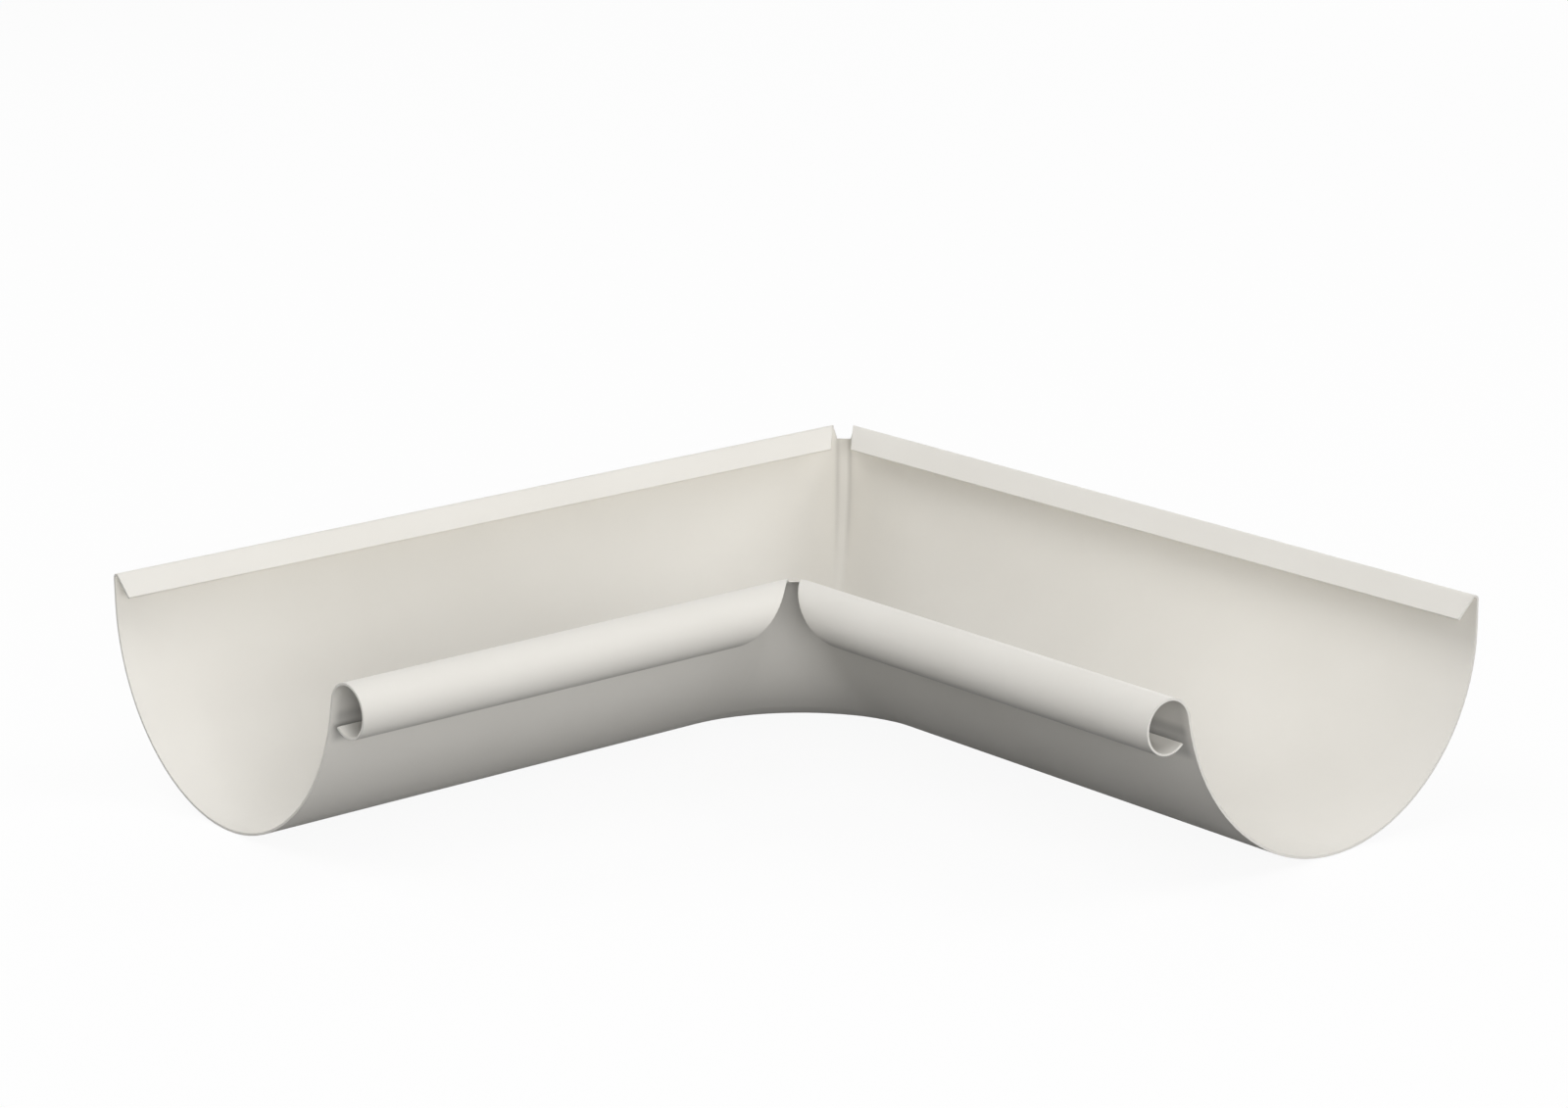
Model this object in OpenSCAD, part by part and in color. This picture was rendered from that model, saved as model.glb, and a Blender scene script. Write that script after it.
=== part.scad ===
// Internal 90 degree angle for a half-round roof gutter, pressed from one coated steel sheet.
// One arm runs along +X and the other along -Y. The rolled bead is on the inner side of the corner.
// The origin is the middle of the bounding box at the level of the underside, and +Z is up.

/* [Trough] */
// Outside diameter of the half-round bottom
trough_d = 126.2; // [100:0.1:160]
// Thickness of the coated sheet
sheet_t = 0.8; // [0.5:0.05:1.2]
// Height of the rear fold above the middle of the half-round
rear_h = 10.4; // [6:0.1:20]
// How far the middle of the front wall's curve lies above the middle of the half-round
front_up = 7.5; // [3:0.1:12]
// How far the middle of the front wall's curve lies behind the middle of the half-round
front_back = 4; // [1:0.1:8]
// Width of the level strip along the lowest line
level_w = 3.2; // [1:0.1:6]

/* [Front bead] */
// Outside diameter of the rolled bead
bead_d = 18.2; // [12:0.1:24]
// How far the middle of the bead lies below the middle of the half-round
bead_drop = 5.2; // [2:0.1:10]
// Angle that the sheet turns through in the bead, from the wall to its free edge
bead_curl = 303; // [200:1:320]

/* [Rear lip] */
// Outside radius of the fold along the top of the rear wall
fold_r = 1.8; // [1.4:0.1:3]
// Slope of the lip below the horizontal
lip_slope = 43.5; // [20:0.5:70]
// Width of the lip, from the fold to its free edge
lip_w = 8.8; // [4:0.1:14]

/* [Arms] */
// Length of each arm, from the crossing of the two trough centre lines to the open end
arm_len = 253.2; // [160:0.1:400]

/* [Corner] */
// Radius of the front corner, round the outside of the wall at its neck below the bead
corner_r = 12.2; // [10:0.1:20]
// Height of the wall's bare edge between the two beads, above the middle of the half-round
corner_edge = 1.9; // [-3:0.1:3]
// Gap between the two beads, square to the mitre
bead_gap = 4.3; // [2:0.1:8]
// Angle of the slanting cut across the bead's flange, from the arm's direction, before rolling
bead_cut = 46.5; // [35:0.5:65]
// Width of the flat that runs down the rear corner, at the upright walls
corner_flat = 5.4; // [2:0.1:12]
// Gap between the two rear lips, square to the mitre
lip_gap = 7.6; // [6:0.1:16]
// Height of the notch's level bottom edge between the lips, above the middle of the half-round
notch_h = 4.4; // [1:0.1:7]
// Width of the notch's level bottom edge, less than the gap between the lips
notch_w = 5.2; // [1:0.1:7]

/* [Hidden] */
$fn = 144;
paint = "#DFDDD5";
// Room by which cutting shapes run past what they cut, and the same for turns, in degrees
past = 2;
turn_past = 5;
// Small turn that keeps one cut or joint clear of the next, in degrees
turn_clear = 2;
// Each curve is set this far into the next one, so that they cross at a slight crease
crease = 0.03;
trough_r = trough_d / 2;
bead_r = bead_d / 2;
// Underside of the level strip
level_z = -sqrt(pow(trough_r, 2) - pow(level_w / 2, 2));
// The front wall's curve leaves the half-round near the line through both middles
front_at = [-front_back, front_up];
front_r = trough_r + norm(front_at) - crease;
front_from = 270 + atan2(front_back, front_up);
// The bead bends away from the inside of the front wall's curve at the neck
bead_reach = front_r - sheet_t + bead_r - crease;
bead_fall = bead_drop + front_up;
bead_at = [front_at[0] + sqrt(pow(bead_reach, 2) - pow(bead_fall, 2)), -bead_drop];
bead_lean = asin(bead_fall / bead_reach);
neck_at = 360 - bead_lean;
bead_from = 180 - bead_lean;
bead_to = bead_from - bead_curl;
fold_z = rear_h - fold_r;
// The notch is this much narrower than the gap between the lips where its sides reach the fold
notch_step = 0.3;
// Distance of the front corner's upright axis from each centre line
corner_at = bead_at[0] - bead_r + corner_r;
// Angle on the bead at which the gap between the beads reaches the start of each arm
gap_at = acos((corner_at - bead_gap / sqrt(2) - bead_at[0]) / bead_r);
// Length of sheet round the bead for each degree
bead_step = bead_r * PI / 180;
// Steps in the slanting cut round the bead
cut_steps = 24;
// From the crossing of the centre lines to the middle of the bounding box
centre = (arm_len - trough_r) / 2;

// Pie slice between two angles, with its point at the middle
module slice(r, from, to) {
    steps = ceil((to - from) / 30);
    rim = [for (i = [0:steps]) let (a = from + (to - from) * i / steps) r * [cos(a), sin(a)]];
    polygon(concat([[0, 0]], rim));
}

// Part of a disc between two angles
module pie(r, from, to) {
    intersection() {
        circle(r);
        slice(r * 1.5, from, to);
    }
}

// Filled half-round with its level strip, moved in from the outside by inset
module half_round(inset) {
    r = trough_r - inset;
    intersection() {
        circle(r);
        translate([-r, level_z + inset]) square([2 * r, r - level_z]);
    }
}

// Filled rear half of the section, up to top and past the lowest line by reach
module rear_filled(inset, reach, top) {
    r = trough_r - inset;
    intersection() {
        half_round(inset);
        translate([-r, -r]) square([r + reach, r]);
    }
    translate([-r, 0]) square([r + reach, top]);
}

// Filled front half of the section, from one angle to another
module front_filled(inset, from, to) {
    intersection() {
        half_round(inset);
        slice(trough_r * 1.5, from, to);
    }
    translate(front_at) pie(front_r - inset, front_from, to);
}

// Section of the rear wall, from the lowest line up to the fold
module rear_section() {
    difference() {
        rear_filled(0, 0, fold_z);
        rear_filled(sheet_t, past, fold_z + past);
    }
}

// Section of the fold and the lip that slopes down from it
module lip_section() {
    far = 2 * fold_r;
    over = fold_r - crease;
    under = over - sheet_t;
    translate([fold_r - trough_r, fold_z]) difference() {
        rotate(-lip_slope) difference() {
            union() {
                intersection() {
                    circle(fold_r);
                    translate([-far, -far]) square([2 * far, far + over]);
                }
                square([lip_w, over]);
            }
            intersection() {
                circle(fold_r - sheet_t);
                translate([-far, -far]) square([2 * far, far + under]);
            }
            translate([0, -far]) square([lip_w + past, far + under]);
        }
        translate([-far, -far]) square(far);
    }
}

// Section of the front wall and the part of the bead down to the given angle
module front_section(curl_to) {
    difference() {
        union() {
            front_filled(0, 270, neck_at);
            translate(bead_at) pie(bead_r, curl_to, bead_from + turn_clear);
        }
        difference() {
            front_filled(sheet_t, 270 - turn_past, neck_at + turn_past);
            translate(bead_at) circle(bead_r);
        }
        translate(bead_at) circle(bead_r - sheet_t);
    }
}

// Runs a section along the +X arm between two places
module along_arm(from, to) {
    translate([from, 0, 0]) rotate([90, 0, 90]) linear_extrude(to - from) mirror([1, 0]) children();
}

// Cuts the rolled bead along a line that was straight across the flange before it was rolled.
// A four-cornered outline is carried round the bead, and its long side follows the line.
module bead_end() {
    outer = bead_r + past;
    inner = bead_r / 2;
    start = corner_at - past;
    first = gap_at - turn_clear;
    turn = first - bead_to + turn_past;
    function angle(i) = first - turn * i / cut_steps;
    function reach(i) = corner_at + (gap_at - angle(i)) * bead_step / tan(bead_cut);
    function spot(x, r, a) = [x, -r * cos(a), r * sin(a)];
    points = [for (i = [0:cut_steps]) let (a = angle(i), x = reach(i)) each [
        spot(start, outer, a), spot(x, outer, a), spot(x, inner, a), spot(start, inner, a)
    ]];
    sides = [for (i = [0:cut_steps - 1], k = [0:3]) let (p = 4 * i + k, q = 4 * i + (k + 1) % 4) each [
        [p, q, q + 4], [p, q + 4, p + 4]
    ]];
    last = 4 * cut_steps;
    ends = [[3, 2, 1, 0], [last, last + 1, last + 2, last + 3]];
    translate([0, -bead_at[0], bead_at[1]]) polyhedron(points, concat(sides, ends));
}

// Everything past the +X arm's side of the gap between the lips
module past_lip_end() {
    side = 3 * trough_r;
    rotate(-45) translate([-side, lip_gap / 2 - side, -past]) cube([side, side, rear_h + 2 * past]);
}

// One arm, the +X one, with its share of the rear wall
module arm() {
    difference() {
        along_arm(corner_at, arm_len) {
            rear_section();
            lip_section();
            front_section(bead_to);
        }
        bead_end();
    }
    along_arm(0, corner_at) {
        rear_section();
        lip_section();
    }
}

// The +X arm's lip beside the rear corner
module corner_lip() {
    difference() {
        along_arm(-trough_r, 0) lip_section();
        past_lip_end();
    }
}

// Everything in front of the flat down the rear corner, which narrows to nothing at the bottom
module before_flat(inset, top) {
    r = trough_r - inset;
    run = trough_r * sqrt(2) - corner_flat / 2 - inset;
    rotate([90, 0, 135]) linear_extrude(4 * trough_r, center = true) scale([run / r, 1]) {
        intersection() {
            circle(r);
            translate([-2 * past, -r]) square([r + 2 * past, r]);
        }
        translate([-2 * past, 0]) square([r + 2 * past, top]);
    }
}

// Filled rear corner, where the two half-rounds meet at the mitre
module rear_corner_filled(inset, reach, top) {
    intersection() {
        along_arm(-trough_r, reach) rear_filled(inset, reach, top);
        mirror([1, 1, 0]) along_arm(-trough_r, reach) rear_filled(inset, reach, top);
        before_flat(inset, top);
    }
}

// Notch in the rear corner below the gap between the lips, with slanting sides
module notch() {
    low = notch_w / 2;
    at_fold = (lip_gap - notch_step) / 2;
    rise = fold_z + past - notch_h;
    high = low + (at_fold - low) * rise / (fold_z - notch_h);
    rotate([90, 0, 225]) linear_extrude(2 * trough_r) translate([0, notch_h]) {
        polygon([[-low, 0], [low, 0], [high, rise], [-high, rise]]);
    }
}

module rear_corner() {
    difference() {
        rear_corner_filled(0, 0, fold_z);
        rear_corner_filled(sheet_t, past, fold_z + past);
        notch();
    }
    corner_lip();
    mirror([1, 1, 0]) corner_lip();
}

// Front corner, turned about an upright axis, with the level floor that it leaves behind it
module front_corner() {
    floor_run = corner_at * (sqrt(2) - 1) + past;
    difference() {
        intersection() {
            translate([corner_at, -corner_at]) rotate(90) rotate_extrude(angle = 90) {
                translate([corner_at, 0]) mirror([1, 0]) {
                    front_section(gap_at - turn_past);
                    translate([-floor_run, level_z]) square([floor_run, sheet_t]);
                }
            }
            translate([0, -corner_at - past, level_z - past]) {
                cube([corner_at + past, corner_at + past, rear_h - level_z + past]);
            }
        }
        rotate(-45) translate([0, -bead_gap / 2, corner_edge]) cube([2 * corner_at, bead_gap, rear_h]);
    }
}

module gutter_angle() {
    color(paint) translate([-centre, centre, -level_z]) {
        arm();
        mirror([1, 1, 0]) arm();
        rear_corner();
        front_corner();
    }
}

gutter_angle();
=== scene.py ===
import math
from functools import partial

import bpy
from mathutils import Matrix, Vector

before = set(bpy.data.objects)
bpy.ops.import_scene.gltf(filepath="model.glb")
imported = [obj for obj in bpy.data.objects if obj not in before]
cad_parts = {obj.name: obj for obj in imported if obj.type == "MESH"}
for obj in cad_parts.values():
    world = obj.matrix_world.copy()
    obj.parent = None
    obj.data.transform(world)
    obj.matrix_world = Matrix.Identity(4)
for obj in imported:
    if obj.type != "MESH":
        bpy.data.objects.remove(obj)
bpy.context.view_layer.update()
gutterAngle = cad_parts["gutter_angle"]
print("loaded the gutter angle")

# where the photograph was taken from; lengths in metres, angles in degrees
photoView = {
    "crossing": (-0.09505, 0.09505, 0.06308),  # of the two troughs' centre lines
    "azimuth": 50.929,
    "elevation": 15.444,
    "roll": -0.718,
    "distance": 1.527145,
    "shiftRight": -0.013967,
    "shiftUp": -0.016183,
    "lens": 98.26,
    "sensor": 36.0,
}


def addCamera(view):
    az, el = math.radians(view["azimuth"]), math.radians(view["elevation"])
    back = Vector((math.sin(az) * math.cos(el), -math.cos(az) * math.cos(el), math.sin(el)))
    right = (-back).cross(Vector((0, 0, 1))).normalized()
    up = right.cross(-back)
    turn = Matrix.Rotation(math.radians(view["roll"]), 3, back)
    right, up = turn @ right, turn @ up
    place = Vector(view["crossing"]) + back * view["distance"]
    place += right * view["shiftRight"] + up * view["shiftUp"]
    lensData = bpy.data.cameras.new("photoCamera")
    lensData.lens = view["lens"]
    lensData.sensor_width = view["sensor"]
    lensData.clip_end = 30
    camera = bpy.data.objects.new("photoCamera", lensData)
    bpy.context.scene.collection.objects.link(camera)
    axes = Matrix((right, up, back)).transposed()
    camera.matrix_world = Matrix.Translation(place) @ axes.to_4x4()
    bpy.context.scene.camera = camera


addCamera(photoView)
print("placed the camera")

# satin paint that is baked on the sheet before it is pressed; lengths in metres
coating = {
    "colour": (0.812, 0.791, 0.743, 1),
    "colourThin": (0.790, 0.768, 0.719, 1),  # where the coat is a little thinner
    "colourCornerShade": (0.620, 0.600, 0.557, 1),  # painted shade on the rear corner's flat and in its creases
    "colourBeadShade": (0.475, 0.465, 0.440, 1),  # painted shade inside the beads and below them
    "cloudSize": 0.045,
    "roughLow": 0.48,
    "roughHigh": 0.58,
    "smudgeSize": 0.018,
    "peelSize": 0.0011,  # one dimple of the orange peel
    "peelDepth": 0.000006,
    "grainSize": 0.00025,
    "grainDepth": 0.0000012,
    "rollLength": 0.16,  # faint waves that the rollers leave along the sheet
    "rollWidth": 0.007,
    "rollDepth": 0.000012,
    "edgeRound": 0.00025,
    "specular": 0.15,
}


# the flat that the press leaves down the rear corner, and the soft creases at its edges, both darkened with
# painted shade; in metres
rearFlat = {
    "middleZ": 0.06308,  # of the half-round
    "innerRadius": 0.0623,
    "halfWidth": 0.00237,  # at the upright walls; it narrows to nothing at the bottom
    "crossing": 0.13442,  # of the centre lines, from the origin along the mitre
    "innerReach": 0.08574,  # of the flat's inner face, from the crossing
    "sheet": 0.0008,
    "creaseWidth": 0.0016,  # of the rounding on each side of an edge
    "shadeWidth": 0.0024,
    "shadeFlat": 0.38,
    "shadeCrease": 0.50,
    "softLow": -0.80,  # the shade fades out between these parts of the way down the half-round
    "softHigh": -0.10,
    "outsideLess": 0.75,
}


def calculate(tree, operation, a, b=0.0):
    node = tree.nodes.new("ShaderNodeMath")
    node.operation = operation
    for socket, value in zip(node.inputs, (a, b)):
        if isinstance(value, (int, float)):
            socket.default_value = value
        else:
            tree.links.new(value, socket)
    return node.outputs["Value"]


def softStep(tree, value, whereNone, whereFull):
    node = tree.nodes.new("ShaderNodeMapRange")
    node.interpolation_type = "SMOOTHSTEP"
    tree.links.new(value, node.inputs["Value"])
    node.inputs["From Min"].default_value = whereNone
    node.inputs["From Max"].default_value = whereFull
    return node.outputs["Result"]


def creasedCorner(tree, place, flat):
    calc = partial(calculate, tree)
    axes = tree.nodes.new("ShaderNodeSeparateXYZ")
    tree.links.new(place, axes.inputs["Vector"])
    x, y, z = axes.outputs["X"], axes.outputs["Y"], axes.outputs["Z"]
    fromMitre = calc("ABSOLUTE", calc("MULTIPLY", calc("ADD", x, y), math.sqrt(0.5)))
    alongMitre = calc("SUBTRACT", calc("MULTIPLY", calc("SUBTRACT", y, x), math.sqrt(0.5)), flat["crossing"])
    rear = calc("GREATER_THAN", alongMitre, 0)
    drop = calc("DIVIDE", calc("MINIMUM", calc("SUBTRACT", z, flat["middleZ"]), 0), flat["innerRadius"])
    narrow = calc("SQRT", calc("MAXIMUM", calc("SUBTRACT", 1, calc("MULTIPLY", drop, drop)), 0))
    pastEdge = calc("SUBTRACT", fromMitre, calc("MULTIPLY", narrow, flat["halfWidth"]))
    onWall = calc("MAXIMUM", pastEdge, 0)
    fromEdge = calc("ADD", calc("ABSOLUTE", pastEdge), calc("MULTIPLY", onWall, math.sqrt(2) - 1))
    middleOfSheet = calc("MULTIPLY", narrow, flat["innerReach"] + flat["sheet"] / 2)
    outside = calc("GREATER_THAN", calc("ADD", alongMitre, onWall), middleOfSheet)
    # inside, the rounding adds to the crease; outside, it takes away from it
    within = calc("MAXIMUM", calc("SUBTRACT", flat["creaseWidth"], fromEdge), 0)
    bend = math.tan(math.pi / 8) / 2 / flat["creaseWidth"]
    fillet = calc("MULTIPLY", calc("MULTIPLY", within, within), bend)
    side = calc("SUBTRACT", 1, calc("MULTIPLY", outside, 2))
    sharp = calc("MULTIPLY", softStep(tree, drop, flat["softLow"], flat["softHigh"]), rear)
    height = calc("MULTIPLY", calc("MULTIPLY", fillet, side), calc("MULTIPLY", narrow, rear))

    # painted shade: the flat and its creases are darkened in the colour where the corner's shade falls
    onFlat = calc("MULTIPLY", softStep(tree, onWall, flat["shadeWidth"], 0), flat["shadeFlat"])
    onCrease = calc("MULTIPLY", softStep(tree, fromEdge, flat["creaseWidth"], 0), flat["shadeCrease"])
    fainter = calc("SUBTRACT", 1, calc("MULTIPLY", outside, flat["outsideLess"]))
    shade = calc("MULTIPLY", calc("MULTIPLY", calc("ADD", onFlat, onCrease), sharp), fainter)
    return height, shade


# painted shade inside the two rolled beads, on the wall just below them and on the beads' undersides, where
# little light reaches;
# heights and widths from the bead's middle, in metres
beadShade = {
    "across": 0.02023,  # of the bead's middle from the origin, across its arm
    "up": 0.05788,
    "halfway": 0.0087,  # radius to the middle of the bead's sheet
    "outer": 0.0091,
    "outerNear": 0.0002,
    "wallBack": 0.07882,  # of the middle of the wall's curve
    "wallUp": 0.0127,
    "wallHalfway": 0.07117,  # radius to the middle of the wall's sheet
    "wallSide": -0.0076,
    "neck": 0.0013,
    "start": -0.010,  # of the bead along its arm, from the origin
    "end": 0.15815,
    "fadeStart": 0.006,
    "fadeDeep": 0.004,  # from the end to where the shade is full
    "wallLow": -0.0095,  # heights between which the shade comes in on the wall behind the bead
    "wallHigh": -0.0040,
    "gapHigh": -0.0010,  # above this the painted shade is as strong as in the rest of the bead's inside
    "curlHigh": -0.0065,  # heights between which the curl's shade gives way to that of the rest
    "rolledLow": -0.0020,
    "top": 0.0083,
    "topShade": 0.55,
    "underLow": -0.0145,  # painted shadow on the wall below the bead
    "underHigh": -0.0110,
    "underShade": 0.75,
    "bottomHigh": -0.0040,  # painted shade on the bead's own underside
    "bottomLow": -0.0086,
    # how strong the painted shade is on each bead; it differs with the light that falls on each
    "alongX": {"rolled": 0.42, "curl": 0.05, "bottom": 0.80},
    "alongY": {"rolled": 0.60, "curl": 0.45, "bottom": 0.30},
}


# painted shade: a mask of where the beads' insides, the wall below them and their undersides are darkened in
# the colour
def beadShadeMask(tree, place, bead):
    calc = partial(calculate, tree)
    axes = tree.nodes.new("ShaderNodeSeparateXYZ")
    tree.links.new(place, axes.inputs["Vector"])
    x, y, z = axes.outputs["X"], axes.outputs["Y"], axes.outputs["Z"]
    up = calc("SUBTRACT", z, bead["up"])
    lighter = calc("MULTIPLY", softStep(tree, up, 0, bead["top"]), 1 - bead["topShade"])
    upper = softStep(tree, up, bead["curlHigh"], bead["rolledLow"])
    upper = calc("MULTIPLY", upper, calc("SUBTRACT", 1, lighter))
    lower = softStep(tree, up, bead["rolledLow"], bead["curlHigh"])
    under = calc("MULTIPLY", softStep(tree, up, bead["underLow"], bead["underHigh"]), bead["underShade"])
    wallShade = calc("MAXIMUM", softStep(tree, up, bead["wallLow"], bead["wallHigh"]), under)
    aboveGap = softStep(tree, up, bead["wallHigh"], bead["gapHigh"])
    bottom = softStep(tree, up, bead["bottomHigh"], bead["bottomLow"])
    belowNeck = calc("LESS_THAN", up, bead["neck"])

    def radius(a, b):
        return calc("SQRT", calc("ADD", calc("MULTIPLY", a, a), calc("MULTIPLY", b, b)))

    def oneBead(across, along, shades):
        fromBead = radius(across, up)
        inside = calc("LESS_THAN", fromBead, bead["halfway"])
        shade = calc("ADD", calc("MULTIPLY", upper, shades["rolled"]), calc("MULTIPLY", lower, shades["curl"]))
        rolled = calc("MULTIPLY", inside, shade)
        fromMiddle = radius(calc("ADD", across, bead["wallBack"]), calc("SUBTRACT", up, bead["wallUp"]))
        outerFace = calc("GREATER_THAN", fromMiddle, bead["wallHalfway"])
        wallSide = calc("MULTIPLY", calc("LESS_THAN", across, bead["wallSide"]), belowNeck)
        wall = calc("MULTIPLY", calc("MULTIPLY", outerFace, wallSide), wallShade)
        wall = calc("MULTIPLY", wall, calc("SUBTRACT", 1, calc("MULTIPLY", aboveGap, 1 - shades["rolled"])))
        fromOuter = calc("ABSOLUTE", calc("SUBTRACT", fromBead, bead["outer"]))
        onOuter = calc("LESS_THAN", fromOuter, bead["outerNear"])
        underside = calc("MULTIPLY", onOuter, calc("MULTIPLY", bottom, shades["bottom"]))
        deep = softStep(tree, calc("SUBTRACT", bead["end"], along), 0, bead["fadeDeep"])
        past = softStep(tree, calc("SUBTRACT", along, bead["start"]), 0, bead["fadeStart"])
        shadedInside = calc("MULTIPLY", calc("MAXIMUM", rolled, wall), deep)
        return calc("MULTIPLY", calc("MAXIMUM", shadedInside, underside), past)

    # the bead of the arm along X lies towards -Y of its trough, and that of the other arm towards +X
    alongX = oneBead(calc("SUBTRACT", bead["across"], y), x, bead["alongX"])
    alongY = oneBead(calc("ADD", x, bead["across"]), calc("MULTIPLY", y, -1), bead["alongY"])
    return calc("MAXIMUM", alongX, alongY)


def paintMaterial(paint):
    material = bpy.data.materials.new("coatedSheet")
    material.use_nodes = True
    nodes, links = material.node_tree.nodes, material.node_tree.links
    shader = nodes["Principled BSDF"]
    shader.inputs["Specular IOR Level"].default_value = paint["specular"]
    shader.inputs["Metallic"].default_value = 0
    place = nodes.new("ShaderNodeTexCoord")

    def noise(size, detail, vector=None):
        node = nodes.new("ShaderNodeTexNoise")
        node.inputs["Scale"].default_value = 1 / size
        node.inputs["Detail"].default_value = detail
        links.new(vector or place.outputs["Object"], node.inputs["Vector"])
        return node.outputs["Fac"]

    def spread(value, low, high):
        node = nodes.new("ShaderNodeMapRange")
        node.inputs["From Min"].default_value = 0.3
        node.inputs["From Max"].default_value = 0.7
        node.inputs["To Min"].default_value = low
        node.inputs["To Max"].default_value = high
        links.new(value, node.inputs["Value"])
        return node.outputs["Result"]

    def stretched(alongX):
        node = nodes.new("ShaderNodeMapping")
        long, short = 1 / paint["rollLength"], 1 / paint["rollWidth"]
        node.inputs["Scale"].default_value = (long, short, short) if alongX else (short, long, short)
        links.new(place.outputs["Object"], node.inputs["Vector"])
        return noise(1, 1, node.outputs["Vector"])

    def bump(height, depth, under):
        node = nodes.new("ShaderNodeBump")
        node.inputs["Strength"].default_value = 1
        node.inputs["Distance"].default_value = depth
        links.new(height, node.inputs["Height"])
        links.new(under, node.inputs["Normal"])
        return node.outputs["Normal"]

    clouds = nodes.new("ShaderNodeMix")
    clouds.data_type = "RGBA"
    clouds.inputs["A"].default_value = paint["colourThin"]
    clouds.inputs["B"].default_value = paint["colour"]
    links.new(spread(noise(paint["cloudSize"], 4), 0, 1), clouds.inputs["Factor"])
    # painted shade in the rear corner
    shaded = nodes.new("ShaderNodeMix")
    shaded.data_type = "RGBA"
    links.new(clouds.outputs["Result"], shaded.inputs["A"])
    shaded.inputs["B"].default_value = paint["colourCornerShade"]
    crease, shade = creasedCorner(material.node_tree, place.outputs["Object"], rearFlat)
    links.new(shade, shaded.inputs["Factor"])
    # painted shade inside and under the beads
    beadShaded = nodes.new("ShaderNodeMix")
    beadShaded.data_type = "RGBA"
    links.new(shaded.outputs["Result"], beadShaded.inputs["A"])
    beadShaded.inputs["B"].default_value = paint["colourBeadShade"]
    links.new(beadShadeMask(material.node_tree, place.outputs["Object"], beadShade), beadShaded.inputs["Factor"])
    links.new(beadShaded.outputs["Result"], shader.inputs["Base Color"])

    smudges = noise(paint["smudgeSize"], 3)
    links.new(spread(smudges, paint["roughLow"], paint["roughHigh"]), shader.inputs["Roughness"])

    # the waves run along x on one arm and along y on the other, and change over at the mitre
    split = nodes.new("ShaderNodeSeparateXYZ")
    links.new(place.outputs["Object"], split.inputs["Vector"])
    side = nodes.new("ShaderNodeMath")
    side.operation = "ADD"
    links.new(split.outputs["X"], side.inputs[0])
    links.new(split.outputs["Y"], side.inputs[1])
    onX = nodes.new("ShaderNodeMath")
    onX.operation = "GREATER_THAN"
    onX.inputs[1].default_value = 0
    links.new(side.outputs["Value"], onX.inputs[0])
    waves = nodes.new("ShaderNodeMix")
    links.new(onX.outputs["Value"], waves.inputs["Factor"])
    links.new(stretched(False), waves.inputs["A"])
    links.new(stretched(True), waves.inputs["B"])

    rounded = nodes.new("ShaderNodeBevel")
    rounded.samples = 4
    rounded.inputs["Radius"].default_value = paint["edgeRound"]
    creased = bump(crease, 1, rounded.outputs["Normal"])
    rolled = bump(waves.outputs["Result"], paint["rollDepth"], creased)
    peeled = bump(noise(paint["peelSize"], 1), paint["peelDepth"], rolled)
    grained = bump(noise(paint["grainSize"], 0), paint["grainDepth"], peeled)
    links.new(grained, shader.inputs["Normal"])
    return material


coatedSheet = paintMaterial(coating)
for slot in gutterAngle.material_slots:
    slot.material = coatedSheet
print("painted the sheet")

# a pale floor that the camera sees as nearly white, with the object's soft shadow on it
studioFloor = {
    "half": 6.0,
    "colour": (0.15, 0.15, 0.15, 1),  # for light that bounces back on the object
    "cameraColour": (0.97, 0.97, 0.97, 1),
    "shadowShare": 0.07,  # of the floor's own light and shade in what the camera sees
    "glossShare": 0.80,  # the same in what the paint's gloss sees
}


def addFloor(floor):
    bpy.ops.object.select_all(action="DESELECT")
    bpy.ops.mesh.primitive_plane_add(size=2 * floor["half"], location=(0, 0, 0))
    plane = bpy.context.object
    plane.name = "floor"
    material = bpy.data.materials.new("paleFloor")
    material.use_nodes = True
    nodes, links = material.node_tree.nodes, material.node_tree.links
    nodes.clear()
    out = nodes.new("ShaderNodeOutputMaterial")
    rays = nodes.new("ShaderNodeLightPath")
    seen = nodes.new("ShaderNodeMath")
    seen.operation = "MAXIMUM"
    links.new(rays.outputs["Is Camera Ray"], seen.inputs[0])
    links.new(rays.outputs["Is Glossy Ray"], seen.inputs[1])
    white = nodes.new("ShaderNodeEmission")
    white.inputs["Color"].default_value = (1, 1, 1, 1)
    shaded = nodes.new("ShaderNodeBsdfDiffuse")
    shaded.inputs["Color"].default_value = floor["cameraColour"]
    bounced = nodes.new("ShaderNodeBsdfDiffuse")
    bounced.inputs["Color"].default_value = floor["colour"]
    share = nodes.new("ShaderNodeMapRange")
    share.inputs["To Min"].default_value = floor["glossShare"]
    share.inputs["To Max"].default_value = floor["shadowShare"]
    links.new(rays.outputs["Is Camera Ray"], share.inputs["Value"])
    paper = nodes.new("ShaderNodeMixShader")
    links.new(share.outputs["Result"], paper.inputs["Fac"])
    links.new(white.outputs["Emission"], paper.inputs[1])
    links.new(shaded.outputs["BSDF"], paper.inputs[2])
    both = nodes.new("ShaderNodeMixShader")
    links.new(seen.outputs["Value"], both.inputs["Fac"])
    links.new(bounced.outputs["BSDF"], both.inputs[1])
    links.new(paper.outputs["Shader"], both.inputs[2])
    links.new(both.outputs["Shader"], out.inputs["Surface"])
    plane.data.materials.append(material)


addFloor(studioFloor)

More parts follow.
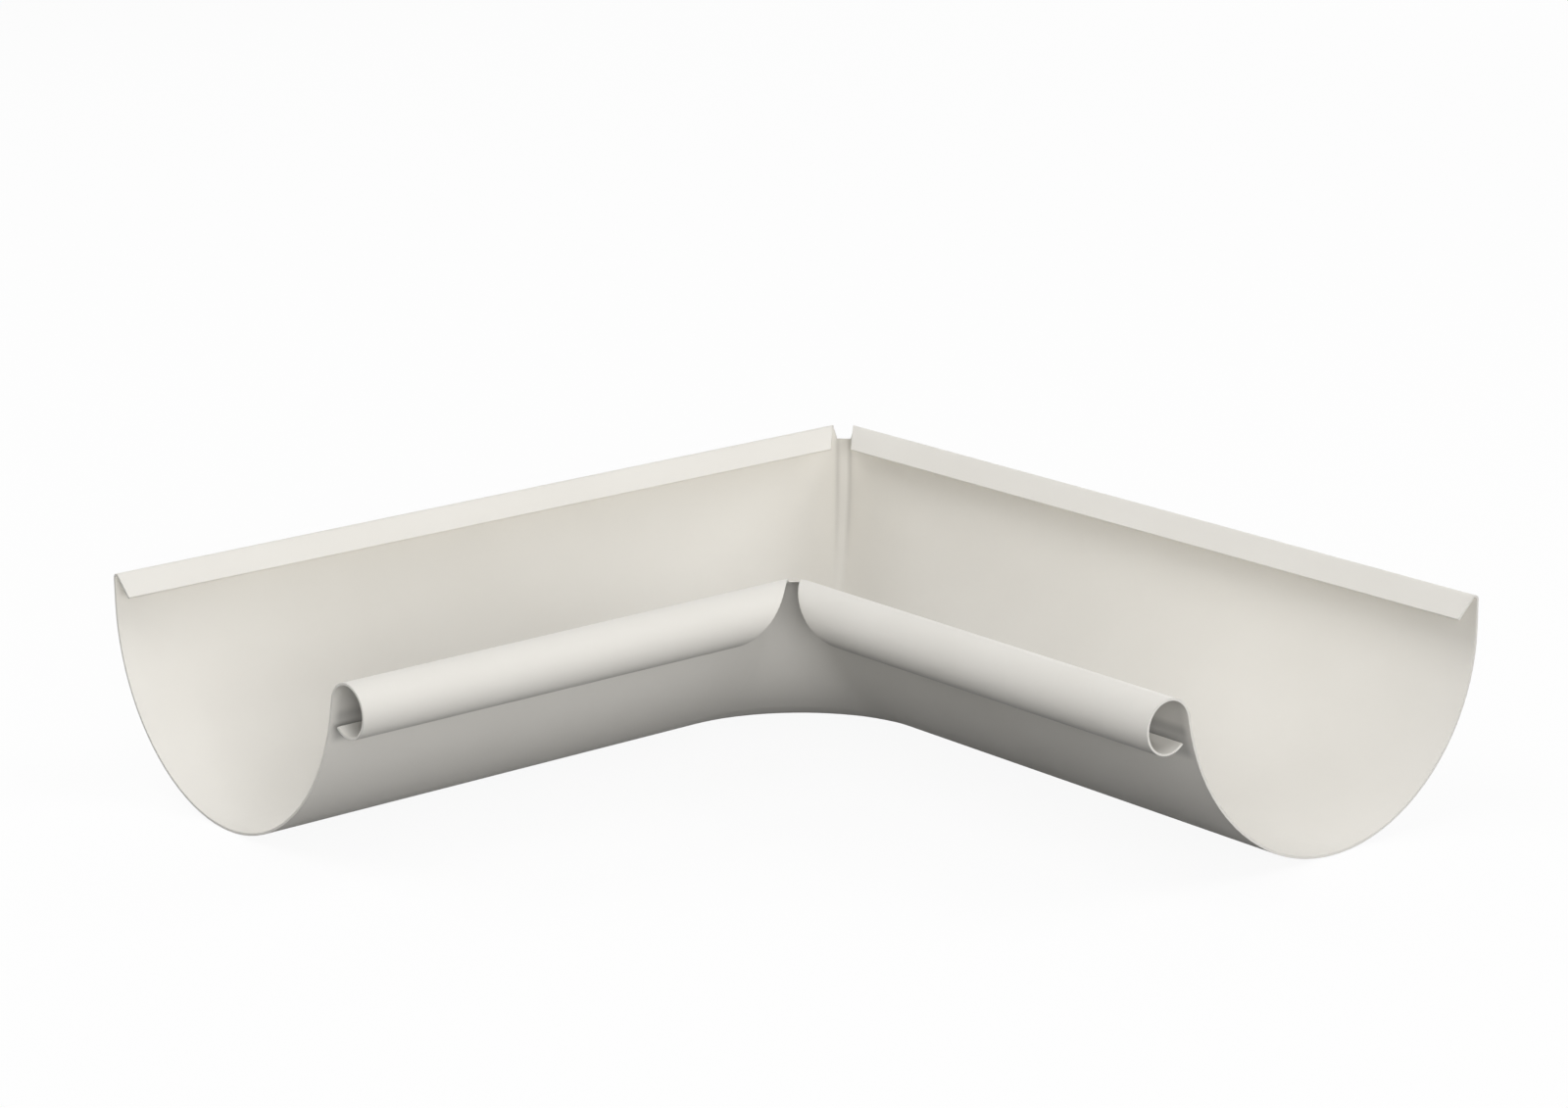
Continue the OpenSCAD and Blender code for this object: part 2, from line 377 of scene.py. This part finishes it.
# soft boxes round the object; place and size in metres, power in watts
softBoxes = {
    "keyLow": {"place": (2.25, -1.30, 0.47), "size": (1.5, 0.93), "power": 22.2},
    "key": {"place": (2.12, -1.22, 0.89), "size": (1.5, 1.5), "power": 16.2},
    "rightLow": {"place": (2.59, 0, 0.47), "size": (1.5, 0.93), "power": 10.4},
    "right": {"place": (0.92, 0.53, 2.38), "size": (1.5, 1.5), "power": 6.3},
    "farRight": {"place": (0.97, 1.67, 1.74), "size": (1.5, 1.5), "power": 20.8},
    "front": {"place": (0, -1.06, 2.38), "size": (1.5, 1.5), "power": 16.5},
    "left": {"place": (-1.67, -0.97, 1.74), "size": (1.5, 1.5), "power": 15.0},
    "leftLow": {"place": (-2.25, -1.30, 0.47), "size": (1.5, 0.93), "power": 11.3},
    "behind": {"place": (-1.67, 0.97, 1.74), "size": (1.5, 1.5), "power": 7.3},
    "behindLow": {"place": (-1.30, 2.25, 0.47), "size": (1.5, 0.93), "power": 8.8},
}


def addLights(boxes):
    for name, box in boxes.items():
        data = bpy.data.lights.new(name + "Light", "AREA")
        data.shape = "RECTANGLE"
        data.size, data.size_y = box["size"]
        data.energy = box["power"]
        lamp = bpy.data.objects.new(name + "Light", data)
        bpy.context.scene.collection.objects.link(lamp)
        aim = Vector((0, 0, 0.04)) - Vector(box["place"])
        turn = aim.to_track_quat("-Z", "Y").to_matrix().to_4x4()
        lamp.matrix_world = Matrix.Translation(box["place"]) @ turn


addLights(softBoxes)

# the room gives no light of its own, but the camera and the gloss see it white
room = {"fill": 0, "colour": (1, 1, 1, 1)}


def addRoom(room):
    world = bpy.data.worlds.new("room")
    bpy.context.scene.world = world
    world.use_nodes = True
    nodes, links = world.node_tree.nodes, world.node_tree.links
    nodes.clear()
    out = nodes.new("ShaderNodeOutputWorld")
    rays = nodes.new("ShaderNodeLightPath")
    seen = nodes.new("ShaderNodeMath")
    seen.operation = "MAXIMUM"
    links.new(rays.outputs["Is Camera Ray"], seen.inputs[0])
    links.new(rays.outputs["Is Glossy Ray"], seen.inputs[1])
    either = nodes.new("ShaderNodeMath")
    either.operation = "MAXIMUM"
    links.new(seen.outputs["Value"], either.inputs[0])
    links.new(rays.outputs["Is Transmission Ray"], either.inputs[1])
    fill = nodes.new("ShaderNodeBackground")
    fill.name = "fill"
    fill.inputs["Color"].default_value = room["colour"]
    fill.inputs["Strength"].default_value = room["fill"]
    white = nodes.new("ShaderNodeBackground")
    white.inputs["Color"].default_value = (1, 1, 1, 1)
    white.inputs["Strength"].default_value = 1
    both = nodes.new("ShaderNodeMixShader")
    links.new(either.outputs["Value"], both.inputs["Fac"])
    links.new(fill.outputs["Background"], both.inputs[1])
    links.new(white.outputs["Background"], both.inputs[2])
    links.new(both.outputs["Shader"], out.inputs["Surface"])


addRoom(room)
bpy.context.scene.view_settings.view_transform = "Standard"
print("set up the studio")
